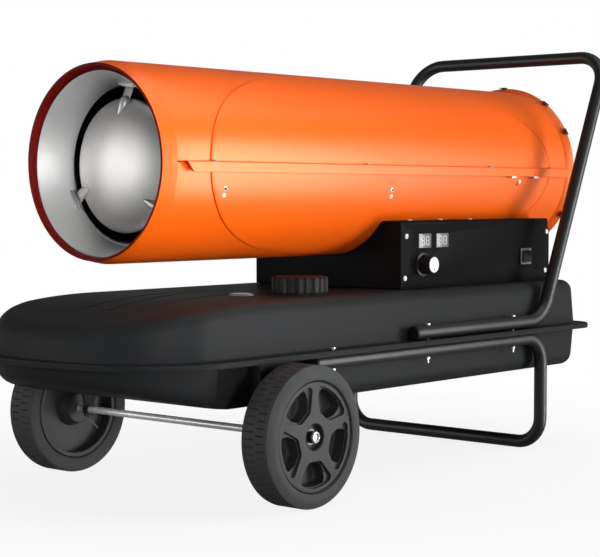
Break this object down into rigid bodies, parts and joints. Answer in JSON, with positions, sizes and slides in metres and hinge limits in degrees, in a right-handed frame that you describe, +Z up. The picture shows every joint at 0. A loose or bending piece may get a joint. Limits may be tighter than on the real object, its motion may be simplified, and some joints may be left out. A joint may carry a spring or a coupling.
{
  "type": "kerosene heater",
  "caption": "Forced-air kerosene heater: round split shell with a flame outlet over a flat two-piece fuel tank, on wheels and a tube leg, with a tube handle.",
  "frame": {"origin": "on the floor, in the middle of the bounding box", "axes": "+Y from the flame outlet towards the fan end, +X towards the control panel's side, +Z up"},
  "size_m": [0.546, 1.1862, 0.6992],
  "materials": {
    "shell_orange": "gloss orange powder coat",
    "tank_black": "satin black powder coat",
    "frame_black": "semi-gloss black powder coat",
    "box_black": "satin black powder coat",
    "stainless": "brushed stainless steel",
    "heated_steel": "heat-tinted stainless steel",
    "zinc": "bright zinc plate",
    "tyre_rubber": "matte rubber",
    "rim_plastic": "moulded plastic, fine texture",
    "black_plastic": "moulded plastic",
    "knob_plastic": "gloss black with a white cap",
    "display_window": "smoked grey window with two digits",
    "grey_plastic": "moulded plastic",
    "white_plastic": "gloss white",
    "ceramic": "glazed ceramic insulator",
    "brass": "machined brass",
    "copper": "drawn copper tube",
    "cast_aluminium": "die-cast aluminium",
    "circuit_board": "solder mask"
  },
  "bodies": {
    "heater": {"upper_shell": "shell_orange", "lower_shell": "shell_orange", "outlet_cone": "stainless", "deflector_dome": "stainless", "combustion_chamber": "heated_steel", "burner_head": "cast_aluminium", "fuel_nozzle": "brass", "spark_electrode": "ceramic", "photocell": "black_plastic", "motor_body": "frame_black", "motor_bracket": "zinc", "pump_body": "cast_aluminium", "pump_cover": "black_plastic", "fan_guard": "frame_black", "air_line": "copper", "fuel_line": "copper", "tank_upper": "tank_black", "tank_lower": "tank_black", "drain_plug": "zinc", "filler_neck": "frame_black", "filler_strainer": "brass", "gauge_body": "grey_plastic", "rear_leg_frame": "frame_black", "handle_bar": "frame_black", "handle_plug_left": "black_plastic", "handle_plug_right": "black_plastic", "frame_plug_left": "black_plastic", "frame_plug_right": "black_plastic", "through_bolt_left_1": "zinc", "through_bolt_left_2": "zinc", "through_bolt_left_3": "zinc", "through_bolt_right_1": "zinc", "through_bolt_right_2": "zinc", "through_bolt_right_3": "zinc", "axle": "zinc", "axle_bracket_left": "frame_black", "axle_bracket_right": "frame_black", "hub_nut_left": "zinc", "hub_nut_right": "zinc", "control_box": "box_black", "control_panel": "box_black", "display_set_temperature": "display_window", "display_room_temperature": "display_window", "circuit_board": "circuit_board", "thermostat": "zinc", "switch_frame": "black_plastic", "ignition_transformer": "black_plastic", "cable_gland": "black_plastic"},
    "wheel_left": {"tyre_left": "tyre_rubber", "wheel_rim_left": "rim_plastic"},
    "wheel_right": {"tyre_right": "tyre_rubber", "wheel_rim_right": "rim_plastic"},
    "fan_rotor": {"fan": "cast_aluminium", "motor_shaft": "zinc", "pump_rotor": "copper"},
    "thermostat_knob": {"thermostat_knob": "knob_plastic"},
    "switch_rocker": {"switch_rocker": "grey_plastic"},
    "fuel_cap": {"fuel_cap": "black_plastic"},
    "gauge_float": {"gauge_float": "grey_plastic"},
    "gauge_pointer": {"gauge_pointer": "white_plastic"}
  },
  "joints": [
    {"name": "left_wheel_spin", "type": "hinge", "parent": "heater", "child": "wheel_left", "pos_m": [-0.2465, -0.3, 0.10128], "axis": [1, 0, 0], "continuous": true},
    {"name": "right_wheel_spin", "type": "hinge", "parent": "heater", "child": "wheel_right", "pos_m": [0.2465, -0.3, 0.10128], "axis": [1, 0, 0], "continuous": true},
    {"name": "fan_spin", "type": "hinge", "parent": "heater", "child": "fan_rotor", "pos_m": [0, 0.395, 0.485], "axis": [0, 1, 0], "continuous": true},
    {"name": "thermostat_turn", "type": "hinge", "parent": "heater", "child": "thermostat_knob", "pos_m": [0.1571, 0.1, 0.327], "axis": [1, 0, 0], "range_deg": [-150, 150]},
    {"name": "switch_rock", "type": "hinge", "parent": "heater", "child": "switch_rocker", "pos_m": [0.1561, 0.4, 0.332], "axis": [0, 0, 1], "range_deg": [0, 18]},
    {"name": "cap_lift", "type": "slide", "parent": "heater", "child": "fuel_cap", "axis": [0, 0, 1], "range_m": [0, 0.035]},
    {"name": "float_swing", "type": "hinge", "parent": "heater", "child": "gauge_float", "pos_m": [0.07, -0.235, 0.26], "axis": [1, 0, 0], "range_deg": [0, 42]},
    {"name": "pointer_turn", "type": "hinge", "parent": "heater", "child": "gauge_pointer", "pos_m": [0.07, -0.235, 0.2906], "axis": [0, 0, 1], "range_deg": [0, 170]}
  ],
  "couplings": [
    {"joint": "pointer_turn", "follows": "float_swing", "ratio": 4}
  ]
}
